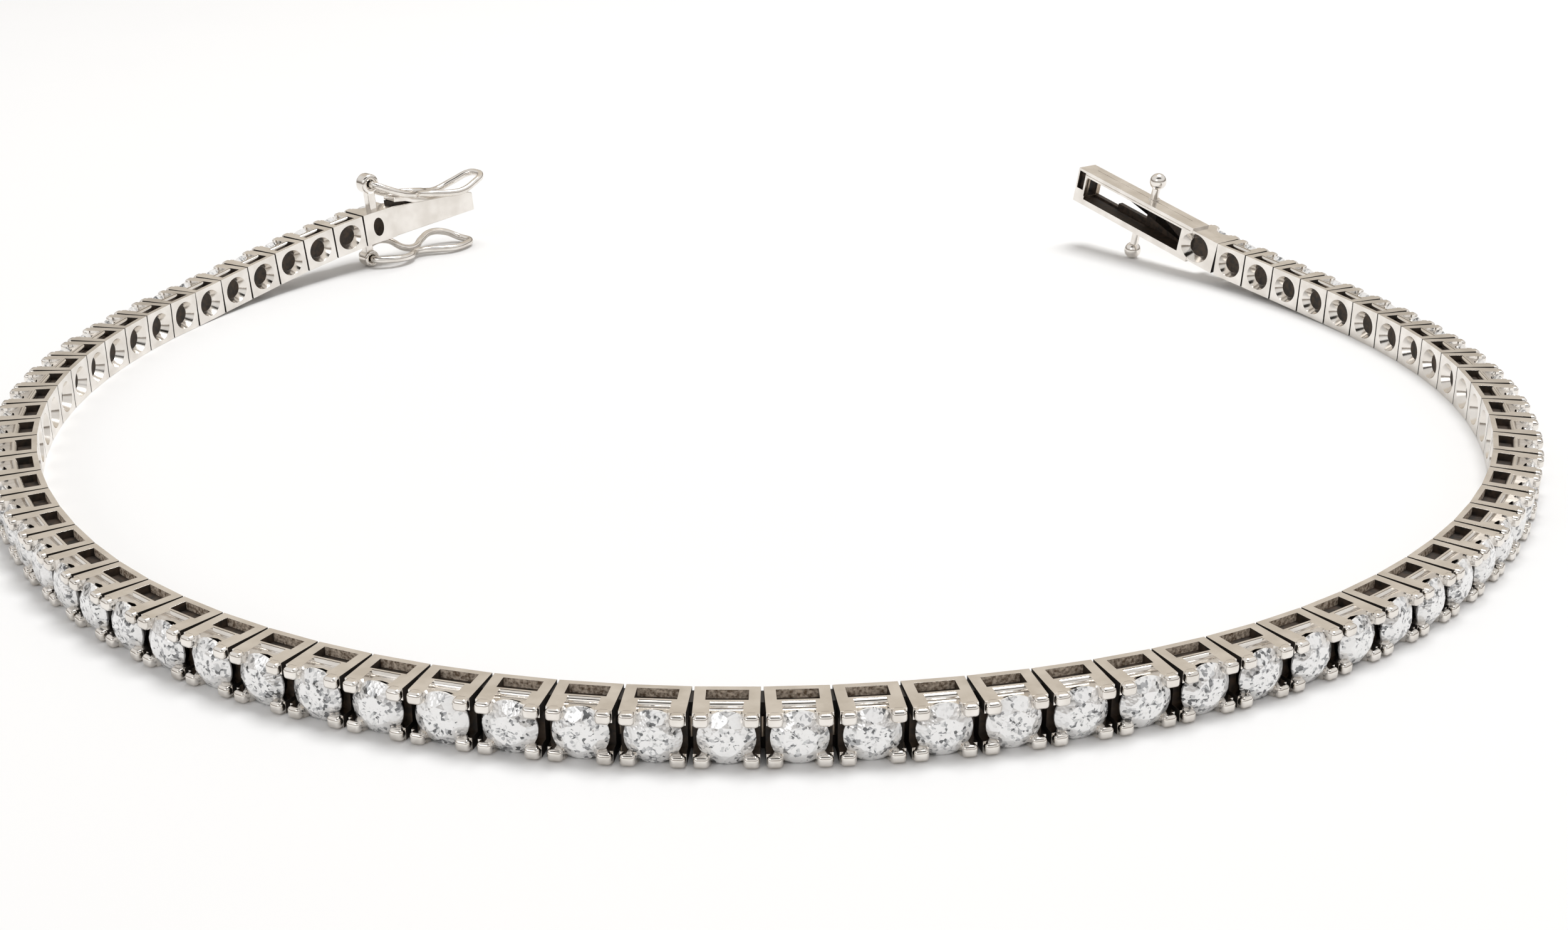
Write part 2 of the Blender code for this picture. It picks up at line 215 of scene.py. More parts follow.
    @staticmethod
    def join(name: str, things: Sequence[Thing]) -> Thing:
        """Make several objects one, under a new name."""
        Bench.only(things[0])
        for thing in things:
            thing.select_set(True)
        bpy.ops.object.join()
        thing = bpy.context.active_object
        thing.name = name
        thing.data.name = name
        return thing

    @staticmethod
    def copy(thing: Thing, name: str) -> Thing:
        """Copy an object, with its own mesh."""
        double = thing.copy()
        double.data = thing.data.copy()
        double.name = name
        bpy.context.scene.collection.objects.link(double)
        return double

    @staticmethod
    def smooth(thing: Thing, angle: float = 32.0) -> Thing:
        """Shade a piece smooth, but for edges sharper than the angle in degrees."""
        Bench.only(thing)
        bpy.ops.object.shade_smooth_by_angle(angle=math.radians(angle))
        return Bench.apply(thing, "WEIGHTED_NORMAL", keep_sharp=True)

    @staticmethod
    def outward(thing: Thing) -> Thing:
        """Turn every face of a closed piece outwards."""
        Bench.enter(thing)
        bpy.ops.mesh.normals_make_consistent(inside=False)
        Bench.leave()
        return thing

    @staticmethod
    def set_down(thing: Thing, place: Matrix) -> Thing:
        """Put a piece modelled in millimetres at its place in the bracelet, in its mesh."""
        thing.data.transform(place @ Matrix.Scale(METRES, 4))
        thing.data.update()
        return thing


class Nodes:
    """A node tree, built node by node."""

    def __init__(self, tree: bpy.types.NodeTree) -> None:
        """Start from a tree."""
        self.tree = tree

    def add(self, kind: str, inputs: dict[str | int, object] | None = None,
            **values: object) -> bpy.types.Node:
        """Add a node.

        Args:
            kind: The node's type.
            inputs: What each input is set to, or the socket it is joined to.
            values: The node's properties, by name.

        Returns:
            The node.
        """
        made = self.tree.nodes.new(kind)
        for name, value in values.items():
            setattr(made, name, value)
        self.feed(made, inputs or {})
        return made

    def feed(self, node: bpy.types.Node, inputs: dict[str | int, object]) -> None:
        """Set a node's inputs to values, or join them to sockets."""
        for name, value in inputs.items():
            if isinstance(value, bpy.types.NodeSocket):
                self.tree.links.new(value, node.inputs[name])
            else:
                node.inputs[name].default_value = value


class Shader(Nodes):
    """A material's nodes, round one Principled shader."""

    def __init__(self, name: str) -> None:
        """Start a material."""
        self.material = bpy.data.materials.new(name)
        self.material.use_nodes = True
        super().__init__(self.material.node_tree)

    def place(self) -> bpy.types.NodeSocket:
        """The point on the piece, in metres from the bracelet's middle."""
        return self.add("ShaderNodeTexCoord").outputs["Object"]

    def surface(self, inputs: dict[str | int, object]) -> bpy.types.Material:
        """Set the surface's inputs and hand the finished material over."""
        self.feed(self.tree.nodes["Principled BSDF"], inputs)
        return self.material


class FineWear:
    """A node group shared by the metals: soft blotches, fine rubbing marks and a faint ripple."""

    NAME = "Fine wear"

    @classmethod
    def group(cls) -> bpy.types.NodeTree:
        """Build the group once.

        Returns:
            The group: a point, two strengths and a fineness go in; a mask, a roughness and a height come out.
        """
        if cls.NAME in bpy.data.node_groups:
            return bpy.data.node_groups[cls.NAME]
        tree = bpy.data.node_groups.new(cls.NAME, "ShaderNodeTree")
        for name, kind in (("Point", "NodeSocketVector"), ("Polish", "NodeSocketFloat"),
                           ("Rubbing", "NodeSocketFloat"), ("Grain", "NodeSocketFloat")):
            tree.interface.new_socket(name, in_out="INPUT", socket_type=kind)
        for name in ("Blotches", "Roughness", "Height"):
            tree.interface.new_socket(name, in_out="OUTPUT", socket_type="NodeSocketFloat")
        nodes = Nodes(tree)
        start = nodes.add("NodeGroupInput")
        finer = nodes.add("ShaderNodeVectorMath", {
            0: start.outputs["Point"], "Scale": start.outputs["Grain"]}, operation="SCALE")
        blotches = nodes.add("ShaderNodeTexNoise", {
            "Vector": finer.outputs[0], "Scale": 900.0, "Detail": 3.0})
        rubbing = nodes.add("ShaderNodeTexNoise", {
            "Vector": start.outputs["Point"], "Scale": 5200.0, "Detail": 2.0})
        rougher = nodes.add("ShaderNodeMath", {
            0: blotches.outputs["Fac"], 1: start.outputs["Rubbing"], 2: start.outputs["Polish"]},
            operation="MULTIPLY_ADD")
        height = nodes.add("ShaderNodeMath", {
            0: rubbing.outputs["Fac"], 1: start.outputs["Rubbing"]}, operation="MULTIPLY")
        nodes.add("NodeGroupOutput", {
            "Blotches": blotches.outputs["Fac"], "Roughness": rougher.outputs[0],
            "Height": height.outputs[0]})
        return tree


@dataclass(frozen=True)
class WhiteGold:
    """Polished white gold, faintly warm, with fine rubbing marks; darker copies of it paint shade on the
    links.
    """

    name: str = "polished white gold"
    bright: Point = (0.87, 0.835, 0.79)
    dull: Point = (0.74, 0.70, 0.65)
    polish: float = 0.08
    rubbing: float = 0.16
    relief: float = 0.000004
    metallic: float = 1.0
    grain: float = 1.0

    def material(self) -> bpy.types.Material:
        """Build the finish as a material."""
        if self.name in bpy.data.materials:
            return bpy.data.materials[self.name]
        shader = Shader(self.name)
        wear = shader.add("ShaderNodeGroup", {
            "Point": shader.place(), "Polish": self.polish, "Rubbing": self.rubbing, "Grain": self.grain},
            node_tree=FineWear.group())
        # The blotches mix the dull and the bright colour: random tone on the polished metal, mottled painted
        # shade and light on the darker copies.
        spread = shader.add("ShaderNodeMapRange", {
            "Value": wear.outputs["Blotches"], "From Min": 0.35, "From Max": 0.65})
        tint = shader.add("ShaderNodeMix", {
            "Factor": spread.outputs["Result"], "A": (*self.dull, 1.0), "B": (*self.bright, 1.0)},
            data_type="RGBA")
        bump = shader.add("ShaderNodeBump", {
            "Strength": 0.25, "Distance": self.relief, "Height": wear.outputs["Height"]})
        return shader.surface({
            "Base Color": tint.outputs["Result"], "Roughness": wear.outputs["Roughness"],
            "Normal": bump.outputs["Normal"], "Metallic": self.metallic})

    def cover(self, *things: Thing) -> None:
        """Give pieces this finish, after any they have."""
        for thing in things:
            thing.data.materials.append(self.material())


@dataclass(frozen=True)
class CutStone:
    """A clear cut stone with painted reflections: wedges of white and grey round its middle, some of them
    dark, under a hard gloss.
    """

    name: str = "cut clear stone"
    wedges: float = 15.0
    rings: float = 3.7
    fine: float = 8.6
    fine_share: float = 0.55
    # Painted reflections and glints: the ramp from dark through grey to white that colours the facets'
    # pattern.
    painted_reflection_shades: tuple[tuple[float, Point], ...] = (
        (0.00, (0.03, 0.032, 0.035)),
        (0.15, (0.10, 0.105, 0.11)),
        (0.23, (0.36, 0.365, 0.375)),
        (0.34, (0.66, 0.665, 0.67)),
        (0.44, (1.00, 0.995, 0.99)),
        (1.00, (1.00, 1.00, 1.00)),
    )

    def material(self) -> bpy.types.Material:
        """Build the finish as a material: painted reflections in wedges round the middle, mixed with a finer
        net of painted glints.
        """
        if self.name in bpy.data.materials:
            return bpy.data.materials[self.name]
        shader = Shader(self.name)
        cut = shader.add("ShaderNodeAttribute", attribute_name="cut")
        parts = shader.add("ShaderNodeSeparateXYZ", {"Vector": cut.outputs["Vector"]})
        angle = shader.add("ShaderNodeMath", {
            0: parts.outputs["Y"], 1: parts.outputs["X"]}, operation="ARCTAN2")
        turned = shader.add("ShaderNodeMath", {
            0: angle.outputs[0], 1: self.wedges / math.tau}, operation="MULTIPLY")
        flat = shader.add("ShaderNodeCombineXYZ", {"X": parts.outputs["X"], "Y": parts.outputs["Y"]})
        away = shader.add("ShaderNodeVectorMath", {0: flat.outputs["Vector"]}, operation="LENGTH")
        ring = shader.add("ShaderNodeMath", {0: away.outputs["Value"], 1: self.rings}, operation="MULTIPLY")
        polar = shader.add("ShaderNodeCombineXYZ", {
            "X": turned.outputs[0], "Y": ring.outputs[0], "Z": parts.outputs["Z"]})
        wedges = shader.add("ShaderNodeTexVoronoi", {
            "Vector": polar.outputs["Vector"], "Scale": 1.0}, feature="F1", distance="MANHATTAN")
        glints = shader.add("ShaderNodeTexVoronoi", {
            "Vector": cut.outputs["Vector"], "Scale": self.fine}, feature="F1")
        first = shader.add("ShaderNodeSeparateColor", {"Color": wedges.outputs["Color"]})
        second = shader.add("ShaderNodeSeparateColor", {"Color": glints.outputs["Color"]})
        blend = shader.add("ShaderNodeMix", {
            "Factor": self.fine_share, "A": first.outputs["Red"], "B": second.outputs["Green"]},
            data_type="FLOAT")
        ramp = shader.add("ShaderNodeValToRGB", {"Fac": blend.outputs["Result"]})
        stops = ramp.color_ramp.elements
        while len(stops) < len(self.painted_reflection_shades):
            stops.new(0.5)
        for stop, (place, shade) in zip(stops, self.painted_reflection_shades):
            stop.position = place
            stop.color = (*shade, 1.0)
        bump = shader.add("ShaderNodeBump", {
            "Strength": 0.35, "Distance": 0.00003, "Height": glints.outputs["Distance"]})
        return shader.surface({
            "Base Color": ramp.outputs["Color"], "Normal": bump.outputs["Normal"], "Metallic": 0.30,
            "Roughness": 0.05, "IOR": 2.0, "Coat Weight": 0.6, "Coat Roughness": 0.02})


@dataclass(frozen=True)
class Paper:
    """The pale matt surface under the bracelet."""

    name: str = "pale paper"
    shade: Point = (0.97, 0.97, 0.97)

    def material(self) -> bpy.types.Material:
        """Build the finish as a material."""
        shader = Shader(self.name)
        grain = shader.add("ShaderNodeTexNoise", {"Vector": shader.place(), "Scale": 60.0})
        darker = [value * 0.99 for value in self.shade]
        tint = shader.add("ShaderNodeMix", {
            "Factor": grain.outputs["Fac"], "A": (*self.shade, 1.0), "B": (*darker, 1.0)}, data_type="RGBA")
        return shader.surface({
            "Base Color": tint.outputs["Result"], "Roughness": 0.9, "Specular IOR Level": 0.1})


POLISHED = WhiteGold()
# Painted shade: a darker copy of the metal for the insides of the links and box and for the knuckles.
SHADED = WhiteGold("white gold with painted shade inside the links", (0.52, 0.44, 0.36), (0.22, 0.17, 0.12), 0.25, 0.2)
# Painted mottled light and shade on the window walls that face -Y.
PAINTED_WINDOW_SHADE = WhiteGold("painted light and shade on the window walls", (1.0, 0.87, 0.73), (0.22, 0.15, 0.10), 0.4, 0.3,
                 metallic=0.2, grain=9.0)
# Painted shade, dark brown, in the links' hollows, in the box and under the tongue's leaf.
PAINTED_HOLLOW_SHADE = WhiteGold("painted shade in the hollows of the links", (0.055, 0.034, 0.02), (0.010, 0.007, 0.004), 0.5, 0.25,
                   metallic=0.0, grain=4.0)
# Painted shadow, near black, on the link ends that face a neighbour and on the hinge plates.
GAP_SHADOW = WhiteGold("shadow between the links", (0.03, 0.022, 0.016), (0.008, 0.006, 0.004), 0.6, 0.2,
                metallic=0.0)
LINK_FINISHES = (POLISHED, PAINTED_WINDOW_SHADE, PAINTED_HOLLOW_SHADE, GAP_SHADOW)
BOX_FINISHES = (POLISHED, SHADED, PAINTED_HOLLOW_SHADE)
STONE = CutStone()


@dataclass
class Route:
    """The way the row runs, as headings in degrees at even shares of its length."""

    start: Point = (-26.2662, 29.421, 0.0015)
    links: int = 69
    pitch: float = 2.5
    headings: tuple[float, ...] = (-133.0, -113.6, -92.0, -68.9, -48.7, -25.1, -2.2, 17.6, 40.7, 62.3, 85.5,
                                   109.7, 127.0)
    tongue_lift: float = 1.65
    tongue_links: float = 7.0
    box_slope: float = 11.5
    box_lift: float = 0.93603
    box_links: float = 5.5

    def heading(self, share: float) -> float:
        """Read the heading, in radians, at a share of the row's length."""
        place = min(max(share, 0.0), 1.0) * (len(self.headings) - 1)
        index = min(int(place), len(self.headings) - 2)
        part = place - index
        slopes = np.gradient(np.array(self.headings))
        hold = (1 + 2 * part) * (1 - part) ** 2 * self.headings[index]
        hold += part ** 2 * (3 - 2 * part) * self.headings[index + 1]
        bend = part * (1 - part) ** 2 * slopes[index] - part ** 2 * (1 - part) * slopes[index + 1]
        return math.radians(float(hold + bend))

    def rise(self, away: float, lift: float, over: float, ease: float) -> Pair:
        """Height and slope of a link near an end that stands clear of the surface.

        Args:
            away: Links between it and that end.
            lift: Height of the end.
            over: Links over which the row rises.
            ease: How early the rise slows down.

        Returns:
            The height in millimetres and the slope in radians.
        """
        share = max(0.0, 1.0 - away / over)
        height = lift * share ** 2 * (1 + ease * (1 - share))
        slope = lift * (2 * share * (1 + ease) - 3 * ease * share ** 2) / (over * self.pitch)
        return height, math.atan(slope)

    def frames(self) -> list[Matrix]:
        """Place of each link in the bracelet, in metres, the tongue's own link first."""
        headings = [self.heading(index / self.links) for index in range(self.links + 1)]
        box_slope = math.radians(self.box_slope)
        row_lift = self.box_lift - math.sin(box_slope) * self.pitch / 2
        place = Vector(self.start)
        found = []
        for index, heading in enumerate(headings):
            if index:
                before = headings[index - 1]
                step = Vector((math.cos(before) + math.cos(heading),
                               math.sin(before) + math.sin(heading), 0.0))
                place = place + step * self.pitch / 2
            left, left_slope = self.rise(index, self.tongue_lift, self.tongue_links, 1.0)
            right, right_slope = self.rise(self.links - index - 0.5, row_lift, self.box_links, 0.0)
            if index == self.links:
                right, right_slope = self.box_lift, box_slope
            turn = Matrix.Rotation(heading, 4, "Z") @ Matrix.Rotation(left_slope - right_slope, 4, "Y")
            middle = Vector((0.0, 0.0, MIDDLE))
            matrix = Matrix.Translation((place + Vector((0.0, 0.0, left + right)) + middle) * METRES)
            found.append(matrix @ turn @ Matrix.Translation(-middle * METRES))
        return found


@dataclass
class LinkSetting:
    """One box link: hollowed metal, a bar in each side window, four claws, and the hinge to the next."""

    half_length: float = 1.18
    height: float = 2.1
    back: float = 0.75
    trim: float = 0.01
    window: Pair = (-0.24, 0.50)
    window_depth: float = 0.36
    ledge: float = 0.20
    seat: float = -0.74
    seat_radius: float = 0.94
    post: float = 0.42
    bar_radius: float = 0.19
    claw_tip: float = -1.25
    claw_end: float = -1.54
    claw_round: float = 0.17
    claw_size: Pair = (0.59, 0.49)
    edge: float = 0.035
    bore_end: float = 0.33
    knuckle_size: Pair = (0.2, 0.42)
    plate_size: Pair = (0.16, 0.93)
    plate_depths: Pair = (-0.2, 0.67)
    hole: dict[Hole, tuple[float, float, float, float]] = field(default_factory=lambda: {
        Hole.ROW: (0.88, 0.79, 0.0, 0.72),
        Hole.TONGUE: (0.40, 0.62, 0.12, 0.94),
        Hole.BOX: (1.12, 0.92, 0.50, 0.66),
    })

    def opening(self, hole: Hole) -> Thing:
        """Model the cone that bores the opening in a link's back."""
        wide, tall, shift, narrow = self.hole[hole]
        depth = self.back - self.bore_end
        wide_end = narrow + (1.0 - narrow) * (depth + PAST) / depth
        tool = Bench.rod("opening", narrow, (0.0, self.bore_end, 0.0), (0.0, self.back + PAST, 0.0), 32,
                         wide_end)
        stretch = Matrix.Diagonal((wide, 1.0, tall, 1.0))
        tool.data.transform(Matrix.Translation((shift, 0.0, self.height / 2)) @ stretch)
        return tool

    def tools(self, hole: Hole) -> list[Thing]:
        """Model the tools that hollow a link out.

        Args:
            hole: Which opening its back has.

        Returns:
            The tools, in the order of their use.
        """
        middle = self.height / 2
        free = self.half_length - self.claw_size[0]
        clear = middle - self.claw_size[1]
        front = self.claw_tip - PAST
        bend = self.seat - free
        side_end = self.half_length + PAST
        above = self.height + PAST
        found = [
            Bench.rod("channel end", free, (0.0, bend, -PAST), (0.0, bend, above)),
            Bench.block("channel", (-free, front, -PAST), (free, bend, above)),
            Bench.block("stone room", (-side_end, front, middle - clear),
                        (side_end, self.seat, middle + clear)),
            Bench.rod("cone", self.seat_radius, (0.0, self.seat - 0.06, middle), (0.0, 0.1, middle), 20, 0.3),
            self.opening(hole),
        ]
        if hole is not Hole.ROW:
            return found
        low, high = self.window
        for side in Side:
            for name, reach, near, far, depth in (
                    ("window", self.half_length - self.post, low, high, self.window_depth),
                    ("ledge", free, self.seat - 0.3, low - 0.1, self.ledge)):
                levels = sorted(middle + side.value * away for away in (middle - depth, middle + PAST))
                found.append(Bench.block(name, (-reach, near, levels[0]), (reach, far, levels[1])))
        return found

    def box(self, name: str, hole: Hole) -> Thing:
        """Model the link's metal in one piece: the hollowed box, and the four claws at its corners.

        Args:
            name: The object's name.
            hole: Which opening its back has.

        Returns:
            The metal, with its edges softened.
        """
        box = Bench.block(name, (-self.half_length, self.claw_tip, self.trim),
                          (self.half_length, self.back, self.height - self.trim))
        return Bench.soften(Bench.carve(box, self.tools(hole)), self.edge)

    def bars(self) -> list[Thing]:
        """Model the round gallery bar that crosses each side window."""
        across = self.half_length - self.post + 0.1
        place = self.window[0] - 0.06
        level = self.bar_radius + 0.02
        return [Bench.rod("bar", self.bar_radius, (-across, place, height), (across, place, height), 16)
                for height in (level, self.height - level)]

    def claw_tips(self) -> list[Thing]:
        """Model the rounded block that ends each claw."""
        wide, tall = self.claw_size
        middle = self.height / 2
        outer = self.half_length - 0.005
        rim = middle - 0.003
        found = []
        for along in (-1, 1):
            for side in Side:
                ends = sorted((along * (outer - wide), along * outer))
                levels = sorted((middle + side.value * rim, middle + side.value * (rim - tall)))
                tip = Bench.block("claw tip", (ends[0], self.claw_end, levels[0]),
                                  (ends[1], self.claw_tip + 0.2, levels[1]))
                found.append(Bench.soften(tip, self.claw_round, 5))
        return found

    def knuckle(self) -> list[Thing]:
        """Model the hinge between this link and the next: the round knuckle and its plate."""
        place = self.half_length + 0.06
        middle = self.height / 2
        radius, half = self.knuckle_size
        wide, tall = self.plate_size
        near, far = self.plate_depths
        knuckle = Bench.rod("knuckle", radius, (place, -0.1, middle - half), (place, -0.1, middle + half), 12)
        plate = Bench.block("plate", (place - wide, near, middle - tall), (place + wide, far, middle + tall))
        # The knuckle takes the painted shade, and the plate the painted shadow between the links.
        for part, finish in ((knuckle, SHADED), (plate, GAP_SHADOW)):
            finish.cover(part)
            Bench.soften(part, 0.03)
        return [knuckle, plate]

    def build(self, name: str, hole: Hole) -> Thing:
        """Model the whole link and give it its finishes.

        Args:
            name: The object's name.
            hole: Which opening its back has.

        Returns:
            The link, without its stone.
        """
        box = self.box(name, hole)
        for finish in LINK_FINISHES:
            finish.cover(box)
        self.dress(box)
        parts = self.claw_tips()
        if hole is Hole.ROW:
            parts += self.bars()
        POLISHED.cover(*parts)
        if hole is not Hole.BOX:
            parts += self.knuckle()
        return Bench.smooth(Bench.join(name, [box] + parts))

    def dress(self, box: Thing) -> None:
        """Finish a link's faces: polished outside, with painted shade in its hollows and where it faces a
        neighbour, and painted light and shade on the window walls that face -Y.
        """
        low, high = self.window
        across = self.half_length - self.post
        middle = self.height / 2
        for face in box.data.polygons:
            spot, way = face.center, face.normal
            away = abs(spot.z - middle)
            windowed = abs(spot.x) < across + 0.03 and low - 0.03 < spot.y < high + 0.03
            faces_back = abs(way.y) > 0.8 and self.seat - 0.1 < spot.y < self.back - 0.2
            faces_link = abs(spot.x) > self.half_length - 0.04 and abs(way.x) > 0.6
            under_stone = self.seat - 0.03 < spot.y < 0.15 and abs(spot.x) < self.seat_radius
            # Painted shade: the window recesses, the back hollow, the ends that face a neighbour and the seat
            # under the stone get darker finishes that stand in for shade.
            finish = POLISHED
            if windowed and middle - self.window_depth - 0.03 < away < middle - 0.05:
                finish = PAINTED_WINDOW_SHADE if way.y < -0.6 else PAINTED_HOLLOW_SHADE
            elif faces_back:
                finish = PAINTED_HOLLOW_SHADE
            elif faces_link and spot.y < self.back - 0.1:
                finish = GAP_SHADOW
            elif under_stone and away < middle - self.ledge - 0.03:
                finish = PAINTED_HOLLOW_SHADE
            face.material_index = LINK_FINISHES.index(finish)


@dataclass
class RoundStone:
    """A round stone, cut facet by facet from a short rod."""

    radius: float = 1.045
    girdle: float = -1.05
    girdle_height: float = 0.05
    crown: float = 0.32
    pavilion: float = 0.84
    table: float = 0.57
    crown_angle: float = 34.5
    break_angle: float = 41.5
    star_angle: float = 20.0
    pavilion_angle: float = 40.8
    lower_angle: float = 42.6

    def build(self, name: str) -> Thing:
        """Cut the stone.

        Args:
            name: The object's name.

        Returns:
            The stone, with its table towards -Y.
        """
        outer = self.girdle - self.girdle_height
        table = outer - self.crown
        point = self.girdle + self.pavilion
        stone = Bench.rod(name, self.radius, (0.0, table - 0.1, 0.0), (0.0, point, 0.0), 32)
        self.cut(stone, Vector((0.0, table, 0.0)), Vector((0.0, -1.0, 0.0)))
        half_turn = math.tau / 16
        star_radius = self.radius * self.table * math.cos(half_turn)
        for index in range(8):
            main = math.tau * index / 8
            self.facet(stone, main, self.radius, outer, -1, self.crown_angle)
            self.facet(stone, main, self.radius, self.girdle, 1, self.pavilion_angle)
            self.facet(stone, main + half_turn, star_radius, table, -1, self.star_angle)
        for index in range(16):
            turn = math.tau * (index + 0.5) / 16
            self.facet(stone, turn, self.radius, outer, -1, self.break_angle)
            self.facet(stone, turn, self.radius, self.girdle, 1, self.lower_angle)
        stone.data.transform(Matrix.Translation((0.0, 0.0, MIDDLE)))
        stone.data.materials.append(STONE.material())
        return stone

    def facet(self, stone: Thing, turn: float, away: float, depth: float, way: int, angle: float) -> None:
        """Cut one facet.

        Args:
            stone: The stone so far.
            turn: The facet's direction round the stone, in radians.
            away: Distance from the axis of a point on it.
            depth: Place of that point along Y.
            way: -1 for the crown, 1 for the pavilion.
            angle: Its slope from the girdle's plane, in degrees.
        """
        slope = math.radians(angle)
        out = Vector((math.cos(turn), 0.0, math.sin(turn)))
        normal = out * math.sin(slope) + Vector((0.0, way * math.cos(slope), 0.0))
        self.cut(stone, out * away + Vector((0.0, depth, 0.0)), normal)

    def cut(self, stone: Thing, point: Vector, normal: Vector) -> None:
        """Take away what lies beyond a plane and close the cut."""
        Bench.enter(stone)
        bpy.ops.mesh.bisect(plane_co=point, plane_no=normal, use_fill=True, clear_outer=True,
                            threshold=0.00001)
        Bench.leave()


@dataclass
class StoneRow:
    """One half of the row: its links, and the stones in them."""

    name: str
    node: str
    frames: list[Matrix]

    def build(self, link: Thing, stone: Thing, seed: int) -> list[Thing]:
        """Copy the link and its stone along the row.

        Args:
            link: The link to copy.
            stone: The stone to copy.
            seed: Start of the row's painted facet reflections.

        Returns:
            The joined links and the joined stones.
        """
        links = []
        stones = []
        chance = np.random.default_rng(seed)
        middle = Vector((0.0, 0.0, MIDDLE))
        for index, place in enumerate(self.frames):
            links.append(Bench.set_down(Bench.copy(link, f"link {index}"), place))
            turn = Matrix.Rotation(float(chance.uniform(0, math.tau)), 4, "Y")
            copied = Bench.copy(stone, f"stone {index}")
            copied.data.transform(Matrix.Translation(middle) @ turn @ Matrix.Translation(-middle))
            mark_cut(copied, seed * 10.0 + index)
            stones.append(Bench.set_down(copied, place))
        settings = Bench.join(f"{self.name}_settings", links)
        gems = Bench.join(f"{self.name}_stones", stones)
        for piece in (settings, gems):
            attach(piece, "bracelet")
            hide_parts(self.node)
        return [settings, gems]


def mark_cut(stone: Thing, number: float) -> None:
    """Keep each point's place across the stone's face, and the stone's number, for the pattern of its painted
    glints.

    Args:
        stone: A stone in its link's axes.
        number: A number of its own.
    """
    radius = 1.03
    marks = stone.data.attributes.new("cut", "FLOAT_VECTOR", "POINT")
    for mark, vert in zip(marks.data, stone.data.vertices):
        mark.vector = (vert.co.x / radius, (vert.co.z - MIDDLE) / radius, number)


@dataclass
class ClaspTongue:
    """The tongue: its own link, the tapering blade with its raised leaf, and a hinge barrel on each side."""

    frame: Matrix
    length: float = 6.6
    thickness: float = 1.3
    back: float = 0.72
    root: float = -0.96
    levels: Pair = (0.03, 2.07)
    heights: tuple[Point, ...] = ((0.12, 0.97, 1.0), (0.94, 0.68, 0.9), (1.0, 0.60, 0.7))
    leaf_line: tuple[Point, ...] = (
        (-1.5, 2.28, 2.60), (-2.3, 2.12, 2.46), (-2.9, 1.86, 2.16), (-4.3, 1.40, 1.74))
    leaf_depths: Pair = (-0.5, 0.70)
    fold: tuple[Point, ...] = ((-3.1, -0.35, 1.6), (-1.3, 0.45, 2.30))
    fold_shadow_drop: float = 0.25
    barrel_length: float = 0.9
    bore_radius: float = 0.26
    barrel_radius: dict[Side, float] = field(default_factory=lambda: {Side.UPPER: 0.65, Side.LOWER: 0.55})
    barrel_round: dict[Side, float] = field(default_factory=lambda: {Side.UPPER: 0.2, Side.LOWER: 0.14})
    hinges: dict[Side, Point] = field(default_factory=lambda: {
        Side.UPPER: (0.05, 0.10, 3.9),
        Side.LOWER: (0.85, 0.10, -1.0),
    })

    def blade(self) -> Thing:
        """Model the tapering blade."""
        low, high = self.levels
        blade = Bench.block("blade", (-1.3, self.back - self.thickness, low), (self.root, self.back, high))
        for share, tall, thick in self.heights:
            Bench.draw_out(blade, self.root - share * (self.length + 0.22),
                           (self.back - self.thickness * thick, self.back), (low, high * tall))
        POLISHED.cover(blade)
        return Bench.soften(blade, 0.06, 3)

    def leaf(self) -> list[Thing]:
        """Model the blade's raised spring leaf, and the dark block under it that paints the shadow beneath
        the leaf.
        """
        near, far = self.leaf_depths
        along, low, high = self.leaf_line[0]
        leaf = Bench.block("leaf", (along, near, low), (along + 0.1, far, high))
        for along, low, high in self.leaf_line[1:]:
            Bench.draw_out(leaf, along, self.leaf_depths, (low, high))
        # A dark block between the blade and the leaf, painted as the shadow under the leaf.
        fold = Bench.block("fold", *self.fold)
        Bench.pick_faces(fold, lambda face: face.normal.x < -0.9)
        bpy.ops.transform.translate(value=(0.0, 0.0, -self.fold_shadow_drop))
        Bench.leave()
        POLISHED.cover(leaf)
        PAINTED_HOLLOW_SHADE.cover(fold)
        return [Bench.soften(leaf, 0.07, 3), fold]

    def barrel(self, side: Side) -> list[Thing]:
        """Model one hinge barrel and the post that carries it."""
        centre = Vector(self.hinges[side])
        half = Vector((0.0, self.barrel_length / 2, 0.0))
        through = Vector((0.0, PAST, 0.0))
        barrel = Bench.rod("barrel", self.barrel_radius[side], centre - half, centre + half, 28)
        Bench.carve(barrel, [Bench.rod("bore", self.bore_radius, centre - through, centre + through, 20)])
        Bench.soften(barrel, self.barrel_round[side], 4)
        low, high = sorted((MIDDLE + side.value * 0.8, centre.z - side.value * 0.42))
        post = Bench.block("post", (centre.x - 0.27, centre.y - 0.29, low),
                           (centre.x + 0.27, centre.y + 0.29, high))
        return [barrel, Bench.soften(post, 0.08, 3)]

    def build(self, setting: LinkSetting, stone: Thing) -> list[Thing]:
        """Model the tongue and set it at the end of the row.

        Args:
            setting: The link's sizes.
            stone: The stone to copy.

        Returns:
            The tongue and its stone.
        """
        link = setting.build("tongue_link", Hole.TONGUE)
        parts = self.barrel(Side.UPPER) + self.barrel(Side.LOWER)
        POLISHED.cover(*parts)
        parts += [self.blade()] + self.leaf()
        for part in parts:
            Bench.smooth(part)
        tongue = Bench.join("tongue", [link] + parts)
        gem = Bench.copy(stone, "tongue_stone")
        mark_cut(gem, 31.0)
        for piece in (tongue, gem):
            Bench.set_down(piece, self.frame)
            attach(piece, "bracelet")
            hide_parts("clasp_tongue")
        return [tongue, gem]


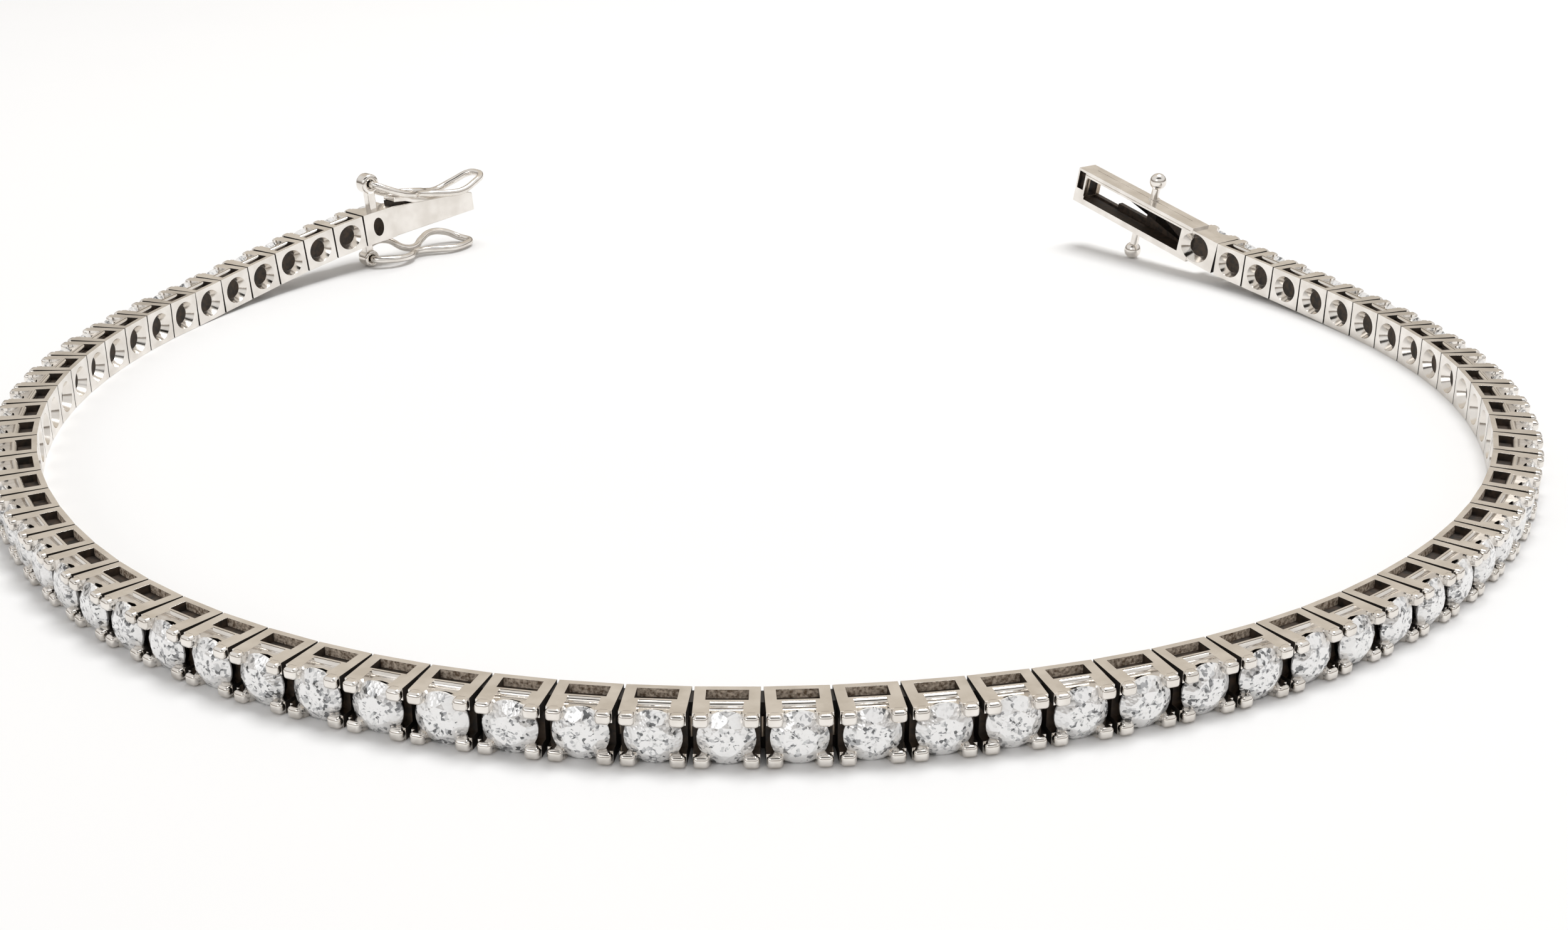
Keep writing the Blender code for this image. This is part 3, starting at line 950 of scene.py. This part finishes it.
@dataclass
class ClaspBox:
    """The open box that takes the tongue, on its own link, with a ball peg above and below."""

    frame: Matrix
    start: float = 0.96
    length: float = 10.4
    inner: float = 0.78
    overhang: float = 0.13
    thickness: float = 1.5
    base: float = 0.7
    rail: float = 0.40
    tip_bar: float = 0.9
    wall: float = 0.36
    wall_share: float = 0.45
    peg_radius: float = 0.26
    ball_radius: float = 0.55
    shaded: Pair = (1.83, 11.5)
    half_lit: Pair = (6.0, 10.8)
    pegs: dict[Side, Point] = field(default_factory=lambda: {
        Side.UPPER: (5.548, 0.72, 0.7),
        Side.LOWER: (6.068, 0.5, 0.97),
    })

    def shell(self, opening: Thing) -> Thing:
        """Model the box with its windows, mouth and the grooves along its rails.

        Args:
            opening: The tool that bores the opening in the back of its link and of its base.

        Returns:
            The box, with its edges softened.
        """
        inner = self.inner
        outer = inner - self.thickness
        low = -self.overhang
        high = LinkSetting.height + self.overhang
        floor = low + self.rail
        roof = high - self.rail
        hall = LinkSetting.half_length + self.base
        end = LinkSetting.half_length + self.length
        tip = end - self.tip_bar
        view = hall + (tip - hall) * self.wall_share
        shell = Bench.block("shell", (self.start, outer, low), (end, inner, high))
        rooms = {
            "hall": ((hall, outer + self.wall, floor), (tip, inner + PAST, roof)),
            "view": ((view, outer - PAST, floor + 0.42), (tip, inner, roof)),
            "low view": ((tip - 2.2, outer - PAST, floor + 0.16), (tip, inner, roof)),
            "mouth": ((tip - self.wall, outer + self.wall, floor + 0.18),
                      (end + PAST, inner - self.wall, roof - 0.18)),
            "upper groove": ((self.start + 0.2, inner - 0.05, high - 0.27),
                             (tip + 0.2, inner + PAST, high - 0.22)),
            "side groove": ((hall, inner - 0.95, high - 0.05), (tip, inner - 0.85, high + PAST)),
            "tip pocket": ((end - 0.68, inner - 0.30, 0.85), (end - 0.12, inner + PAST, high - 0.16)),
            "tip slot": ((tip - 0.5, inner - 0.20, 0.5), (tip + 0.06, inner + PAST, 1.7)),
        }
        tools = [Bench.block(name, *corners) for name, corners in rooms.items()]
        return Bench.soften(Bench.carve(shell, tools + [opening]), 0.07, 3)

    def dress(self, shell: Thing) -> None:
        """Finish the box's faces: polished outside, with painted shade inside, painted darker on its floor
        and at its ends.
        """
        for finish in BOX_FINISHES:
            finish.cover(shell)
        low = -self.overhang + 0.3
        high = LinkSetting.height + self.overhang - 0.2
        for face in shell.data.polygons:
            spot, way = face.center, face.normal
            inside = low < spot.z < high and spot.y < 0.68
            # Painted shade: inside faces along the box are shaded, and darker where they face up or +Y or lie
            # outside the half-lit stretch.
            if inside and (self.shaded[0] < spot.x < self.shaded[1] or way.y > 0.8):
                dark = way.y > 0.5 or way.z > 0.5 or not self.half_lit[0] <= spot.x <= self.half_lit[1]
                face.material_index = BOX_FINISHES.index(PAINTED_HOLLOW_SHADE if dark else SHADED)

    def peg(self, side: Side) -> list[Thing]:
        """Model one ball peg: its stem, its ball and the collar at its foot."""
        face = LinkSetting.height + self.overhang if side is Side.UPPER else -self.overhang
        along, share, height = self.pegs[side]
        depth = self.inner - self.thickness * share

        def axis(away: float) -> Point:
            """A point on the peg's axis, by its distance from the box."""
            return along, depth, face + side.value * away

        centre = axis(height + self.ball_radius)
        stem = Bench.rod("stem", self.peg_radius, axis(-0.2), centre, 20)
        ball = Bench.ball("ball", self.ball_radius, centre)
        collar = Bench.rod("collar", self.peg_radius * 1.5, axis(-0.05), axis(0.09), 20)
        return [stem, ball, Bench.soften(collar, 0.03)]

    def build(self, setting: LinkSetting, stone: Thing) -> list[Thing]:
        """Model the box and set it at the end of the row.

        Args:
            setting: The link's sizes.
            stone: The stone to copy.

        Returns:
            The box and its stone.
        """
        link = setting.build("box_link", Hole.BOX)
        shell = self.shell(setting.opening(Hole.BOX))
        self.dress(shell)
        parts = self.peg(Side.UPPER) + self.peg(Side.LOWER)
        POLISHED.cover(*parts)
        for part in [shell] + parts:
            Bench.smooth(part, 38.0)
        box = Bench.join("box", [link, shell] + parts)
        gem = Bench.copy(stone, "box_stone")
        mark_cut(gem, 47.0)
        for piece in (box, gem):
            Bench.set_down(piece, self.frame)
            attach(piece, "bracelet")
            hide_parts("clasp_box")
        return [box, gem]


@dataclass
class SafetyLatch:
    """A hinged latch: one bent wire, waisted like an 8, with its straight bar in the barrel's bore."""

    name: str
    node: str
    body: str
    hinge: Vector
    towards: Matrix
    tilt: float
    reach: float
    tab_rise: float
    sag: float
    flare: float  # rise of the far wire, for each mm out from flare_from
    flare_from: float = 0.55
    width: float = 3.1
    wire: float = 0.46
    bar: float = 0.79
    tab: float = 0.73
    tip_inset: float = 0.24
    outline: tuple[Pair, ...] = (
        (0.07, 0.83), (0.17, 1.00), (0.29, 0.86), (0.40, 0.40), (0.50, 0.36), (0.60, 0.62), (0.73, 0.86),
        (0.86, 0.74), (0.96, 0.38))

    def path(self) -> list[Vector]:
        """Middle line of the wire, in the latch's own axes with X to its tip."""
        side = [(0.0, self.bar / 2), (0.0, self.bar)]
        side += [(share * self.reach, width * self.width / 2) for share, width in self.outline]
        points = [Vector((along, across, 0.0)) for along, across in side]
        points.append(Vector((self.reach - self.tip_inset, 0.0, 0.0)))
        points += [Vector((point.x, -point.y, 0.0)) for point in reversed(points[:-1])]
        tab = self.reach * self.tab
        for point in points:
            share = min(point.x / tab, 1.0)
            point.z = self.tab_rise * max(0.0, point.x - tab) / (self.reach - tab)
            point.z -= 4 * self.sag * share * (1 - share)
            beside = max(0.0, point.y - self.flare_from)
            point.z += self.flare * beside * min(1.0, max(0.0, share - 0.1) * 5)
        return points

    def build(self) -> Thing:
        """Bend the wire and lay the latch on its hinge.

        Returns:
            The latch.
        """
        points = self.path()
        curve = bpy.data.curves.new(self.name, "CURVE")
        curve.dimensions = "3D"
        curve.bevel_depth = self.wire / 2
        curve.bevel_resolution = 4
        curve.resolution_u = 6
        spline = curve.splines.new("BEZIER")
        spline.bezier_points.add(len(points) - 1)
        for knot, point in zip(spline.bezier_points, points):
            knot.co = point
            knot.handle_left_type = "AUTO"
            knot.handle_right_type = "AUTO"
        spline.use_cyclic_u = True
        latch = bpy.data.objects.new(self.name, curve)
        bpy.context.scene.collection.objects.link(latch)
        Bench.only(latch)
        bpy.ops.object.convert(target="MESH")
        latch = bpy.context.active_object
        latch.name = self.name
        latch.data.materials.clear()
        POLISHED.cover(latch)
        Bench.smooth(Bench.outward(latch), 60.0)
        back = Matrix.Rotation(math.pi, 4, "Z") @ Matrix.Rotation(-self.tilt, 4, "Y")
        Bench.set_down(latch, Matrix.Translation(self.hinge) @ self.towards.to_3x3().to_4x4() @ back)
        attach(latch, self.body)
        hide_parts(self.node)
        return latch


@dataclass
class Studio:
    """The pale floor, the soft lights and the camera."""

    eye: Point = (0.00096837, -0.0942333, 0.03437873)
    pitch_down: float = 0.37621007
    lens: float = 43.802
    mirrored_strength: float = 0.95
    tent_strength: float = 0.66
    tent: Point = (0.88, 0.87, 0.86)
    far_colour: Point = (0.75, 0.69, 0.61)
    far_elevation: float = 27.0
    far_spread: Pair = (20.0, 48.0)
    dark: Point = (0.012, 0.010, 0.008)
    opening_elevation: float = 60.0
    opening_width: float = 3.2
    opening_spread: Pair = (9.0, 15.0)
    horizon: Point = (0.24, 0.21, 0.18)
    horizon_height: Pair = (0.12, 0.35)

    def floor(self) -> None:
        """Lay the pale floor."""
        bpy.ops.object.select_all(action="DESELECT")
        bpy.ops.mesh.primitive_plane_add(size=6.0, location=(0.0, 0.0, 0.0))
        floor = bpy.context.active_object
        floor.name = "floor"
        floor.data.materials.append(Paper().material())

    def softbox(self, name: str, place: Sequence[float], size: float, power: float) -> None:
        """Hang one square soft light that faces the bracelet."""
        light = bpy.data.lights.new(name, "AREA")
        light.size = size
        light.energy = power
        lamp = bpy.data.objects.new(name, light)
        lamp.location = place
        lamp.rotation_euler = (-Vector(place)).to_track_quat("-Z", "Y").to_euler()
        bpy.context.scene.collection.objects.link(lamp)

    def light(self) -> None:
        """Set the light: a white tent, dim low down and warmer far off, with a dark slit in front."""
        world = bpy.data.worlds.new("studio")
        bpy.context.scene.world = world
        world.use_nodes = True
        nodes = Nodes(world.node_tree)
        way = nodes.add("ShaderNodeTexCoord").outputs["Generated"]
        colour = self.patch(nodes, way, (*self.tent, 1.0), self.far_colour, self.far_elevation, 0.0,
                            self.far_spread)
        colour = self.patch(nodes, way, colour, self.dark, self.opening_elevation, 180.0, self.opening_spread,
                            self.opening_width)
        height = nodes.add("ShaderNodeSeparateXYZ", {0: way})
        level, bottom = self.horizon_height[1], self.horizon_height[0]
        low = nodes.add("ShaderNodeMapRange", {
            "Value": height.outputs["Z"], "From Min": level, "From Max": bottom})
        dimmed = nodes.add("ShaderNodeMix", {
            "Factor": low.outputs["Result"], "A": colour, "B": (*self.horizon, 1.0)}, data_type="RGBA")
        ray = nodes.add("ShaderNodeLightPath")
        strength = nodes.add("ShaderNodeMapRange", {
            "Value": ray.outputs["Is Glossy Ray"], "To Min": self.tent_strength,
            "To Max": self.mirrored_strength})
        nodes.feed(nodes.tree.nodes["Background"], {
            "Color": dimmed.outputs["Result"], "Strength": strength.outputs["Result"]})
        self.softbox("overhead", (0.10, 0.12, 0.5), 0.24, 1.7)
        self.softbox("front", (-0.3, -0.4, 0.3), 0.25, 0.2)
        bpy.context.scene.view_settings.view_transform = "Standard"

    @staticmethod
    def patch(nodes: Nodes, way: bpy.types.NodeSocket, under: object, shade: Sequence[float],
              elevation: float, azimuth: float, spread: Pair,
              width: float = 1.0) -> bpy.types.NodeSocket:
        """Lay a round or wide soft-edged patch of another shade over the surrounding light.

        Args:
            nodes: The world's nodes.
            way: The direction that is looked in.
            under: The colour under the patch, or the socket that gives it.
            shade: The patch's colour.
            elevation: Height of its middle above the horizon, in degrees.
            azimuth: Direction of its middle, in degrees from the far side.
            spread: Where its edge begins and ends, in degrees from its middle.
            width: How many times wider than high it is.

        Returns:
            The socket with the new colour.
        """
        turn = (math.radians(elevation), 0.0, math.radians(azimuth))
        facing = nodes.add("ShaderNodeMapping", {
            "Vector": way, "Rotation": turn, "Scale": (width, 1.0, 1.0)}, vector_type="TEXTURE")
        unit = nodes.add("ShaderNodeVectorMath", {0: facing.outputs["Vector"]}, operation="NORMALIZE")
        near = nodes.add("ShaderNodeSeparateXYZ", {0: unit.outputs["Vector"]})
        begin, end = (math.cos(math.radians(angle)) for angle in spread)
        edge = nodes.add("ShaderNodeMapRange", {
            "Value": near.outputs["Y"], "From Min": end, "From Max": begin},
            interpolation_type="SMOOTHSTEP")
        mix = nodes.add("ShaderNodeMix", {"Factor": edge.outputs["Result"], "A": under, "B": (*shade, 1.0)},
                        data_type="RGBA")
        return mix.outputs["Result"]

    def camera(self) -> None:
        """Set up the camera at the photograph's angle."""
        lens = bpy.data.cameras.new("camera")
        lens.lens = self.lens
        lens.sensor_width = 36.0
        lens.clip_start = 0.001
        lens.clip_end = 20.0
        camera = bpy.data.objects.new("camera", lens)
        camera.location = self.eye
        camera.rotation_euler = (math.pi / 2 - self.pitch_down, 0.0, 0.0)
        bpy.context.scene.collection.objects.link(camera)
        bpy.context.scene.camera = camera


def latches(tongue: ClaspTongue) -> list[SafetyLatch]:
    """Place the two latches: the upper laid on the tongue's blade, the lower with its tip down.

    Args:
        tongue: The tongue that carries them.

    Returns:
        The two latches, ready to build.
    """
    half_wire = 0.24
    gap = 0.1
    upper = tongue.frame @ (Vector(tongue.hinges[Side.UPPER]) * METRES)
    lower = tongue.frame @ (Vector(tongue.hinges[Side.LOWER]) * METRES)
    reach = {Side.UPPER: 9.2, Side.LOWER: 8.3}
    rest = reach[Side.UPPER] * SafetyLatch.tab
    along, _, level = tongue.hinges[Side.UPPER]
    share = (rest - along - LinkSetting.half_length) / tongue.length
    (before, before_tall, _), (after, after_tall, _) = tongue.heights[:2]
    tall = before_tall + (after_tall - before_tall) * (share - before) / (after - before)
    drop = LinkSetting.height * (1 - tall) + level - LinkSetting.height - half_wire - gap
    upper_tilt = -math.asin(drop / rest)
    climb = math.asin(-tongue.frame.col[0].z)
    lower_tilt = -climb + math.asin((half_wire - lower.z / METRES) / (reach[Side.LOWER] - half_wire))
    return [
        SafetyLatch("latch_upper", "upper_safety_latch", "upper_latch", upper, tongue.frame, upper_tilt,
                    reach[Side.UPPER], tab_rise=1.3, sag=0.45, flare=-0.4),
        SafetyLatch("latch_lower", "lower_safety_latch", "lower_latch", lower, tongue.frame, lower_tilt,
                    reach[Side.LOWER], tab_rise=0.1, sag=0.0, flare=0.75),
    ]


def write_size() -> None:
    """Bring the scene's placements up to date."""
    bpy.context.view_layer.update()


def main() -> None:
    """Build and dress the bracelet, piece by piece."""
    logging.basicConfig(level=logging.INFO, format="%(name)s: %(message)s")
    frames = Route().frames()
    setting = LinkSetting()
    link = setting.build("link", Hole.ROW)
    stone = RoundStone().build("stone")
    tongue = ClaspTongue(frames[0])
    pieces = StoneRow("row_left", "stone_row_left", frames[1:35]).build(link, stone, 11)
    pieces += StoneRow("row_right", "stone_row_right", frames[35:69]).build(link, stone, 23)
    pieces += tongue.build(setting, stone)
    pieces += ClaspBox(frames[69]).build(setting, stone)
    pieces += [latch.build() for latch in latches(tongue)]
    for spare in (link, stone):
        bpy.data.objects.remove(spare, do_unlink=True)
    for piece in pieces:
        piece.data.calc_loop_triangles()
        LOG.info("%s: %d triangles", piece.name, len(piece.data.loop_triangles))
    studio = Studio()
    studio.floor()
    studio.light()
    studio.camera()
    write_size()


if __name__ == "__main__":
    main()
